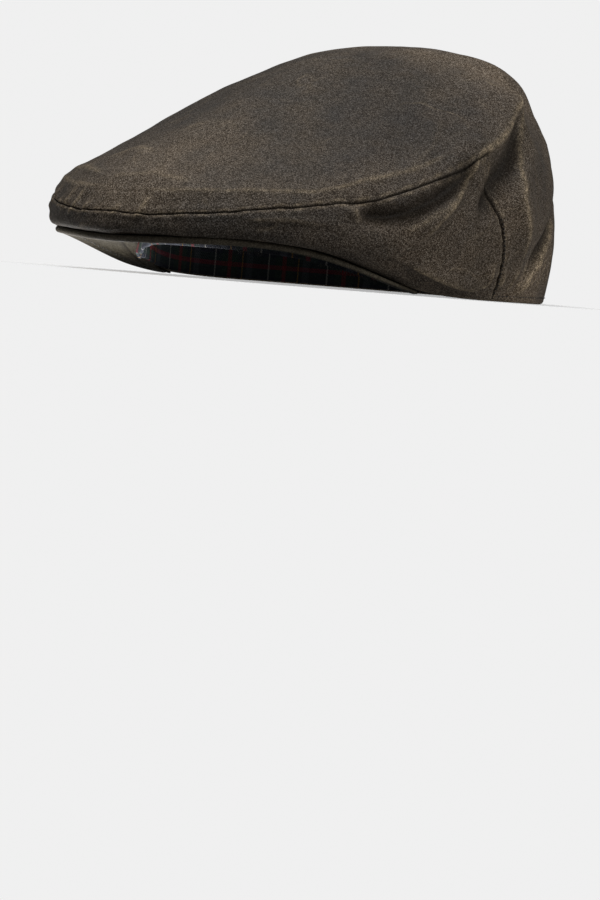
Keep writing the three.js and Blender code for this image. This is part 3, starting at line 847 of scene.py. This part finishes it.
# Loose threads at the sweatband's lower edge: spans and steps in degrees, lengths in mm.
fray = {
    "seed": 4,
    "spans": [(16, 24), (40, 56)],
    "step": 0.45,
    "shake": 0.2,
    "inward": 0.3,
    "rootUp": 0.8,
    "length": 2.6,
    "shortest": 0.4,
    "sideways": 1.2,
    "outward": (0.2, 1.4),
    "curl": 1.6,
    "along": np.array([0, 0.4, 0.75, 1]),
    "radius": 0.13 * np.array([1, 1, 0.9, 0.5]),
}


def frayedEdge():
    random = np.random.default_rng(fray["seed"])
    steps = [a for span in fray["spans"] for a in np.arange(*span, fray["step"])]
    at, up = fray["along"][:, None], np.array([0, 0, 1])
    strands = []
    for angle in steps:
        angle += random.uniform(-fray["shake"], fray["shake"])
        radius = bandRadius(np.array([angle]))[0] - fray["inward"]
        root = atAngle(band["low"], np.array([angle]))[0, 0] + fray["rootUp"]
        turn = math.radians(angle)
        out = np.array([math.sin(turn), -math.cos(turn), 0])
        along = np.array([math.cos(turn), math.sin(turn), 0])
        length = fray["length"] * random.uniform(fray["shortest"], 1)
        drift = along * random.uniform(-fray["sideways"], fray["sideways"])
        drift = drift + out * random.uniform(*fray["outward"])
        points = out * radius + drift * at ** fray["curl"] + up * (root - length * at)
        strands.append((points, out, fray["radius"]))
    return strandMesh("frayed_threads", strands)


def clothLine(angles, levels, lift=0.0):
    angles, levels = np.asarray(angles, float), np.asarray(levels, float)
    return crownCloth(angles, levels, lift)[0], crownNormal(angles, levels)


# Rows of stitches: where they run, and each stitch's length, the space after it and its thickness.
sewing = {
    "back": {"levels": (1.9, 0.16, 60), "beside": 0.4, "lift": -0.1, "sizes": (1.5, 0.9, 0.26)},
    "hem": {"angles": (97, 263, 200), "level": 0.14, "sizes": (2.2, 1.0, 0.18)},
    "peak": {"angles": (-62, 62, 240), "lift": 0.3, "sizes": (2.4, 1.0, 0.25)},
}


def backStitches(side, title):
    row = sewing["back"]
    levels = np.linspace(*row["levels"])
    angles = side * (readTable(backSeam, "level", "angle", levels) + row["beside"])
    return stitchRow(f"back_seam_thread_{title}", *clothLine(angles, levels, row["lift"]), *row["sizes"])


def hemStitches():
    row = sewing["hem"]
    angles = np.linspace(*row["angles"])
    angles = np.where(angles > 180, angles - 360, angles)
    return stitchRow("hem_thread", *clothLine(angles, row["level"] + 0 * angles), *row["sizes"])


def peakStitches():
    row = sewing["peak"]
    angle = np.linspace(*row["angles"])
    inside, outside, top, rise, thick = peakFrame(angle)
    bow = rise * peak["bendRise"] * (peak["stitchIn"] / (outside - inside)) / peak["bendAt"]
    points = polarPoints(angle, outside - peak["stitchIn"], top + bow - thick + row["lift"])
    return stitchRow("peak_thread", points, np.tile([0, 0, -1.0], (len(angle), 1)), *row["sizes"])


# Materials

def newGroup(name, inputs, outputs):
    tree = bpy.data.node_groups.new(name, "ShaderNodeTree")
    for title, kind, value in inputs:
        socket = tree.interface.new_socket(title, in_out="INPUT", socket_type=kind)
        socket.default_value = value
    for title, kind in outputs:
        tree.interface.new_socket(title, in_out="OUTPUT", socket_type=kind)
    return tree, tree.nodes.new("NodeGroupInput"), tree.nodes.new("NodeGroupOutput")


def math2(tree, kind, a, b=None, clamp=False):
    node = tree.nodes.new("ShaderNodeMath")
    node.operation = kind
    node.use_clamp = clamp
    for k, value in enumerate((a, b)):
        if value is None:
            continue
        if isinstance(value, (int, float)):
            node.inputs[k].default_value = value
        else:
            tree.links.new(value, node.inputs[k])
    return node.outputs[0]


def mixColor(tree, factor, a, b, blend="MIX"):
    node = tree.nodes.new("ShaderNodeMix")
    node.data_type = "RGBA"
    node.blend_type = blend
    for key, value in ((0, factor), (6, a), (7, b)):
        if isinstance(value, (int, float)):
            node.inputs[key].default_value = value
        elif isinstance(value, tuple):
            node.inputs[key].default_value = (*value, 1)
        else:
            tree.links.new(value, node.inputs[key])
    return node.outputs[2]


def noiseNode(tree, coords, scale, detail=3.0, rough=0.55):
    node = tree.nodes.new("ShaderNodeTexNoise")
    node.inputs["Scale"].default_value = scale
    node.inputs["Detail"].default_value = detail
    node.inputs["Roughness"].default_value = rough
    tree.links.new(coords, node.inputs["Vector"])
    return node


def remap(tree, value, low, high, toLow=0.0, toHigh=1.0):
    node = tree.nodes.new("ShaderNodeMapRange")
    tree.links.new(value, node.inputs["Value"])
    for key, v in (("From Min", low), ("From Max", high), ("To Min", toLow), ("To Max", toHigh)):
        node.inputs[key].default_value = v
    return node.outputs["Result"]


def scaleColor(tree, color, factor):
    node = tree.nodes.new("ShaderNodeVectorMath")
    node.operation = "SCALE"
    tree.links.new(color, node.inputs[0])
    tree.links.new(factor, node.inputs["Scale"])
    return node.outputs[0]


# Waxed cloth: threads of several hues, broad tone changes, crease marks and rubbed edges, with painted
# shade from the Shade input and painted light and shade within the Tone input.
def waxedGroup():
    tree, given, result = newGroup(
        "waxed cloth",
        [("Dark", "NodeSocketColor", (0.05, 0.04, 0.03, 1)),
         ("Light", "NodeSocketColor", (0.1, 0.08, 0.06, 1)),
         ("Chalk", "NodeSocketColor", (0.2, 0.17, 0.13, 1)),
         ("Speckle", "NodeSocketFloat", 0.5),
         ("Creases", "NodeSocketFloat", 0.5),
         ("Wear", "NodeSocketFloat", 0.0),
         ("Shade", "NodeSocketFloat", 0.0),
         ("Tone", "NodeSocketFloat", 0.0)],
        [("Color", "NodeSocketColor"), ("Roughness", "NodeSocketFloat"), ("Height", "NodeSocketFloat")])
    place = tree.nodes.new("ShaderNodeTexCoord").outputs["Object"]
    given = given.outputs
    broad = noiseNode(tree, place, 14, 3, 0.6).outputs["Fac"]
    cloudy = noiseNode(tree, place, 60, 4, 0.6).outputs["Fac"]
    fine = noiseNode(tree, place, 1100, 1, 0.5).outputs["Fac"]
    tone = math2(tree, "ADD", remap(tree, broad, 0.3, 0.7, 0.06, 0.54),
                 remap(tree, cloudy, 0.3, 0.7, 0, 0.4))
    # the Tone mark holds wax patches and painted light and shade
    tone = math2(tree, "ADD", tone, math2(tree, "MULTIPLY", given["Tone"], 0.8), True)
    color = mixColor(tree, tone, given["Dark"], given["Light"])
    # each thread has its own hue and lightness
    threads = tree.nodes.new("ShaderNodeTexVoronoi")
    threads.inputs["Scale"].default_value = 2900
    tree.links.new(place, threads.inputs["Vector"])
    split = tree.nodes.new("ShaderNodeSeparateColor")
    tree.links.new(threads.outputs["Color"], split.inputs[0])
    hues = mixColor(tree, split.outputs["Red"], (1.22, 1.0, 0.68), (0.92, 1.0, 1.14))
    color = mixColor(tree, given["Speckle"], color, hues, "MULTIPLY")
    bright = math2(tree, "POWER", split.outputs["Red"], 2.6)
    light = math2(tree, "MULTIPLY", remap(tree, bright, 0, 1, -0.85, 3.3), given["Speckle"])
    toned = math2(tree, "ADD", math2(tree, "MULTIPLY", given["Tone"], 0.6), 1.0)
    light = math2(tree, "MULTIPLY", math2(tree, "ADD", light, 1.0), toned)
    color = scaleColor(tree, color, light)
    # thin wandering creases, only in some places
    wander = noiseNode(tree, place, 24, 2, 0.5).outputs["Fac"]
    line = math2(tree, "ABSOLUTE", math2(tree, "SUBTRACT", wander, 0.5))
    crease = remap(tree, line, 0.0, 0.012, 1.0, 0.0)
    where = remap(tree, noiseNode(tree, place, 33, 2, 0.5).outputs["Fac"], 0.5, 0.62)
    crease = math2(tree, "MULTIPLY", crease, where)
    crease = math2(tree, "MULTIPLY", crease, given["Creases"], True)
    # wax and dust rubbed off along creases and worn edges
    uneven = noiseNode(tree, place, 260, 3, 0.7).outputs["Fac"]
    rubbed = math2(tree, "MULTIPLY", math2(tree, "MAXIMUM", given["Wear"], crease),
                   remap(tree, uneven, 0.35, 0.62, 0.35, 1.0), True)
    softLight = math2(tree, "ADD", math2(tree, "MULTIPLY", light, 0.6), 0.4)
    chalk = scaleColor(tree, given["Chalk"], softLight)
    color = mixColor(tree, math2(tree, "MULTIPLY", rubbed, 0.8), color, chalk)
    # painted shade: the colour goes toward near black where the mesh's shade mark is set
    shade = math2(tree, "MULTIPLY", given["Shade"], 0.8)
    tree.links.new(mixColor(tree, shade, color, (0.008, 0.006, 0.004)), result.inputs["Color"])
    rough = math2(tree, "ADD", remap(tree, cloudy, 0.3, 0.7, 0.6, 0.76),
                  math2(tree, "MULTIPLY", rubbed, 0.15), True)
    tree.links.new(rough, result.inputs["Roughness"])
    height = math2(tree, "ADD", math2(tree, "MULTIPLY", fine, 0.8), math2(tree, "MULTIPLY", cloudy, 0.6))
    height = math2(tree, "ADD", height, math2(tree, "MULTIPLY", crease, 0.8))
    tree.links.new(height, result.inputs["Height"])
    return tree


# A plain weave over UV coordinates in metres: one thread over, one under.
def weaveGroup():
    tree, given, result = newGroup(
        "plain weave", [("Pitch", "NodeSocketFloat", 0.0006)],
        [("Height", "NodeSocketFloat"), ("Across", "NodeSocketFloat")])
    place = tree.nodes.new("ShaderNodeTexCoord").outputs["UV"]
    split = tree.nodes.new("ShaderNodeSeparateXYZ")
    tree.links.new(place, split.inputs[0])
    waves = []
    for axis in (0, 1):
        turns = math2(tree, "DIVIDE", split.outputs[axis], given.outputs["Pitch"])
        waves.append(math2(tree, "SINE", math2(tree, "MULTIPLY", turns, math.pi)))
    product = math2(tree, "MULTIPLY", waves[0], waves[1])
    tree.links.new(math2(tree, "MULTIPLY", math2(tree, "ADD", product, 1.0), 0.5), result.inputs["Height"])
    tree.links.new(math2(tree, "GREATER_THAN", product, 0.0), result.inputs["Across"])
    return tree


groups = {"waxed": waxedGroup(), "weave": weaveGroup()}


def useGroup(tree, which, **values):
    node = tree.nodes.new("ShaderNodeGroup")
    node.node_tree = groups[which]
    for key, value in values.items():
        if isinstance(value, (int, float)):
            node.inputs[key].default_value = value
        elif isinstance(value, tuple):
            node.inputs[key].default_value = (*value, 1)
        else:
            tree.links.new(value, node.inputs[key])
    return node


def newMaterial(name, **settings):
    material = bpy.data.materials.new(name)
    material.use_nodes = True
    shader = material.node_tree.nodes["Principled BSDF"]
    for key, value in settings.items():
        shader.inputs[key.replace("_", " ")].default_value = value
    return material, material.node_tree, shader


def attribute(tree, name):
    node = tree.nodes.new("ShaderNodeAttribute")
    node.attribute_name = name
    return node.outputs["Fac"]


def bumpFrom(tree, shader, height, distance, strength=1.0):
    bump = tree.nodes.new("ShaderNodeBump")
    bump.inputs["Distance"].default_value = distance
    bump.inputs["Strength"].default_value = strength
    tree.links.new(height, bump.inputs["Height"])
    tree.links.new(bump.outputs["Normal"], shader.inputs["Normal"])


def waxedMaterial(name, dark, light, chalk, speckle=0.85, creases=0.3):
    material, tree, shader = newMaterial(name, Specular_IOR_Level=0.16)
    wax = useGroup(tree, "waxed", Dark=dark, Light=light, Chalk=chalk, Speckle=speckle,
                   Creases=creases, Wear=attribute(tree, "wear"), Shade=attribute(tree, "shade"),
                   Tone=attribute(tree, "tone"))
    weave = useGroup(tree, "weave", Pitch=0.0009)
    tree.links.new(wax.outputs["Color"], shader.inputs["Base Color"])
    tree.links.new(wax.outputs["Roughness"], shader.inputs["Roughness"])
    threads = math2(tree, "MULTIPLY", weave.outputs["Height"], 0.3)
    bumpFrom(tree, shader, math2(tree, "ADD", wax.outputs["Height"], threads), 0.00035, 0.8)
    return material


# 1 inside a stripe of that width, repeated every period, all in metres.
def stripe(tree, along, period, centre, width):
    turns = math2(tree, "DIVIDE", math2(tree, "SUBTRACT", along, centre), period)
    inRepeat = math2(tree, "FRACT", math2(tree, "ADD", turns, 0.5))
    away = math2(tree, "ABSOLUTE", math2(tree, "SUBTRACT", inRepeat, 0.5))
    return math2(tree, "LESS_THAN", away, width / period / 2)


# The check's stripes, the same both ways: where each lies in the repeat and how wide it is.
check = {
    "period": 0.031,
    "ground": (0.010, 0.012, 0.020),
    "stripes": [
        {"centre": 0.0155, "width": 0.0095, "color": (0.014, 0.026, 0.020)},
        {"centre": 0.0040, "width": 0.0036, "color": (0.045, 0.050, 0.063)},
        {"centre": 0.0155, "width": 0.0022, "color": (0.15, 0.014, 0.018)},
        {"centre": 0.0240, "width": 0.0008, "color": (0.26, 0.25, 0.23)},
        {"centre": 0.0080, "width": 0.0007, "color": (0.24, 0.13, 0.03)},
    ],
}


def checkMaterial():
    material, tree, shader = newMaterial("checked cotton", Specular_IOR_Level=0.2, Roughness=0.9)
    coords = tree.nodes.new("ShaderNodeTexCoord")
    split = tree.nodes.new("ShaderNodeSeparateXYZ")
    tree.links.new(coords.outputs["UV"], split.inputs[0])
    ways = []
    for axis in (0, 1):
        color = mixColor(tree, 0.0, check["ground"], check["ground"])
        for row in check["stripes"]:
            mask = stripe(tree, split.outputs[axis], check["period"], row["centre"], row["width"])
            color = mixColor(tree, mask, color, row["color"])
        ways.append(color)
    weave = useGroup(tree, "weave", Pitch=0.0007)
    upper = math2(tree, "ADD", math2(tree, "MULTIPLY", weave.outputs["Across"], 0.3), 0.35)
    grain = noiseNode(tree, coords.outputs["Object"], 1200, 2).outputs["Fac"]
    faded = mixColor(tree, remap(tree, grain, 0.35, 0.7, 0, 0.18), mixColor(tree, upper, *ways),
                     (0.09, 0.09, 0.09))
    tree.links.new(faded, shader.inputs["Base Color"])
    bumpFrom(tree, shader, weave.outputs["Height"], 0.0003)
    return material


def liningMaterial():
    material, tree, shader = newMaterial("inside cloth", Specular_IOR_Level=0.2)
    place = tree.nodes.new("ShaderNodeTexCoord").outputs["Object"]
    weave = useGroup(tree, "weave", Pitch=0.0008).outputs["Height"]
    tone = noiseNode(tree, place, 60, 4).outputs["Fac"]
    color = mixColor(tree, tone, (0.07, 0.072, 0.082), (0.13, 0.13, 0.14))
    threads = mixColor(tree, math2(tree, "MULTIPLY", weave, 0.15), color, (0.22, 0.22, 0.23))
    tree.links.new(threads, shader.inputs["Base Color"])
    tree.links.new(remap(tree, tone, 0.3, 0.7, 0.8, 0.95), shader.inputs["Roughness"])
    bumpFrom(tree, shader, weave, 0.0003)
    return material


def threadMaterial():
    material, tree, shader = newMaterial("thread", Sheen_Weight=0.1, Sheen_Roughness=0.5, Roughness=0.75)
    place = tree.nodes.new("ShaderNodeTexCoord").outputs["Object"]
    twist = noiseNode(tree, place, 2500, 2).outputs["Fac"]
    color = mixColor(tree, twist, (0.006, 0.005, 0.004), (0.03, 0.025, 0.019))
    tree.links.new(color, shader.inputs["Base Color"])
    bumpFrom(tree, shader, twist, 0.0002)
    return material


print("shapes")
waxed = waxedMaterial("waxed cotton", (0.042, 0.036, 0.030), (0.094, 0.0725, 0.051),
                      (0.30, 0.235, 0.155))
under = waxedMaterial("peak cloth", (0.055, 0.047, 0.033), (0.110, 0.092, 0.064),
                      (0.23, 0.19, 0.135), speckle=0.5, creases=0)
cloth = [
    (topPanelPiece(), waxed, "waxed_cotton", "top_panel"),
    (sideBandPiece(), waxed, "waxed_cotton", "side_band"),
    (peakPiece(), under, "peak_cloth", "peak"),
    (bandPiece(), checkMaterial(), "checked_cloth", "sweatband"),
    (liningPiece(), liningMaterial(), "checked_cloth", "top_panel"),
]
for piece, material, slot, node in cloth:
    piece.data.materials.append(material)
    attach(piece, "root")
    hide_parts(node)
print("threads")
thread = threadMaterial()
for piece in (backStitches(1, "left"), backStitches(-1, "right"), hemStitches(), peakStitches(),
              frayedEdge()):
    piece.data.materials.append(thread)
    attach(piece, "root")

# Floor, light and camera
print("stage")

# The floor fades from the cap outward, so that it has no edge in the picture. From below it is clear.
floorLook = {"radius": 2.5, "sides": 96, "pale": 0.80, "fadeFrom": 0.10, "fadeTo": 0.16, "clear": 0.5}


def floorPiece():
    bpy.ops.mesh.primitive_circle_add(vertices=floorLook["sides"], radius=floorLook["radius"],
                                      fill_type="TRIFAN", location=(0, 0, 0))
    floor = bpy.context.object
    floor.name = "floor"
    material, tree, shader = newMaterial("pale floor", Roughness=0.9, Specular_IOR_Level=0.0)
    pale = floorLook["pale"]
    shader.inputs["Base Color"].default_value = (pale, pale, pale, 1)
    far = tree.nodes.new("ShaderNodeVectorMath")
    far.operation = "LENGTH"
    tree.links.new(tree.nodes.new("ShaderNodeTexCoord").outputs["Object"], far.inputs[0])
    fade = remap(tree, far.outputs["Value"], floorLook["fadeFrom"], floorLook["fadeTo"], floorLook["clear"])
    back = tree.nodes.new("ShaderNodeNewGeometry").outputs["Backfacing"]
    clear = tree.nodes.new("ShaderNodeBsdfTransparent")
    mix = tree.nodes.new("ShaderNodeMixShader")
    tree.links.new(math2(tree, "MAXIMUM", fade, back), mix.inputs[0])
    tree.links.new(shader.outputs[0], mix.inputs[1])
    tree.links.new(clear.outputs[0], mix.inputs[2])
    tree.links.new(mix.outputs[0], tree.nodes["Material Output"].inputs["Surface"])
    floor.data.materials.append(material)


floorPiece()


# Round lamps that the camera doesn't see: places and sizes in metres, power in watts.
lamps = [
    {"name": "key", "at": (-0.35, -0.5, 1.9), "aim": (0, 0, 0.05), "size": 1.0, "power": 27},
    {"name": "side", "at": (1.5, 0.2, 0.7), "aim": (0, 0, 0.05), "size": 0.8, "power": 11},
    # light from the floor up into the hollow
    {"name": "bounce", "at": (-0.04, -0.078, 0.0015), "aim": (-0.04, -0.078, 1), "size": 0.1,
     "power": 0.085},
]


def addLamp(row):
    data = bpy.data.lights.new(row["name"], "AREA")
    data.shape = "DISK"
    data.size = row["size"]
    data.energy = row["power"]
    lamp = bpy.data.objects.new(row["name"], data)
    lamp.location = row["at"]
    lamp.rotation_euler = (Vector(row["aim"]) - Vector(row["at"])).to_track_quat("-Z", "Y").to_euler()
    lamp.visible_camera = False
    bpy.context.scene.collection.objects.link(lamp)


for row in lamps:
    addLamp(row)


# Angles in degrees, distances in metres from the upright line through the crown's middle.
camera = {"azimuth": 47.8, "distance": 2.3, "side": -0.0152, "height": 0.012, "down": 2.22, "roll": 4.6,
          "pixelsPerMetre": 2130, "pictureHeight": 900, "sensor": 36, "clip": (0.05, 50)}


def setCamera():
    turn = math.radians(camera["azimuth"])
    toward = Vector((math.sin(turn), -math.cos(turn), 0))
    right = Vector((math.cos(turn), math.sin(turn), 0))
    up = Vector((0, 0, 1))
    down = math.radians(camera["down"])
    ahead = (-toward * math.cos(down) - up * math.sin(down)).normalized()
    top = (-toward * math.sin(down) + up * math.cos(down)).normalized()
    roll = math.radians(camera["roll"])
    x = right * math.cos(roll) + top * math.sin(roll)
    y = -right * math.sin(roll) + top * math.cos(roll)
    place = toward * camera["distance"] + right * camera["side"] + up * camera["height"] + shift
    data = bpy.data.cameras.new("camera")
    data.sensor_width = camera["sensor"]
    scale = camera["pixelsPerMetre"] * camera["distance"] / camera["pictureHeight"]
    data.lens = scale * camera["sensor"]
    data.clip_start, data.clip_end = camera["clip"]
    eye = bpy.data.objects.new("camera", data)
    eye.matrix_world = Matrix.Translation(place) @ Matrix((
        (x[0], y[0], -ahead[0], 0), (x[1], y[1], -ahead[1], 0), (x[2], y[2], -ahead[2], 0), (0, 0, 0, 1)))
    bpy.context.scene.collection.objects.link(eye)
    bpy.context.scene.camera = eye


setCamera()

# The world looks pale and even to the camera and lights the cap more softly.
studio = {"seen": (0.87, 1.0), "lighting": (1, 0.16)}    # grey and strength of each


def background(node, grey, strength):
    node.inputs["Color"].default_value = (grey, grey, grey, 1)
    node.inputs["Strength"].default_value = strength
    return node.outputs[0]


def setWorld():
    world = bpy.data.worlds.new("studio")
    world.use_nodes = True
    tree = world.node_tree
    mix = tree.nodes.new("ShaderNodeMixShader")
    ray = tree.nodes.new("ShaderNodeLightPath").outputs["Is Camera Ray"]
    lighting = tree.nodes.new("ShaderNodeBackground")
    tree.links.new(ray, mix.inputs[0])
    tree.links.new(background(lighting, *studio["lighting"]), mix.inputs[1])
    tree.links.new(background(tree.nodes["Background"], *studio["seen"]), mix.inputs[2])
    tree.links.new(mix.outputs[0], tree.nodes["World Output"].inputs["Surface"])
    bpy.context.scene.world = world


setWorld()
bpy.context.scene.view_settings.view_transform = "Standard"

print("done")
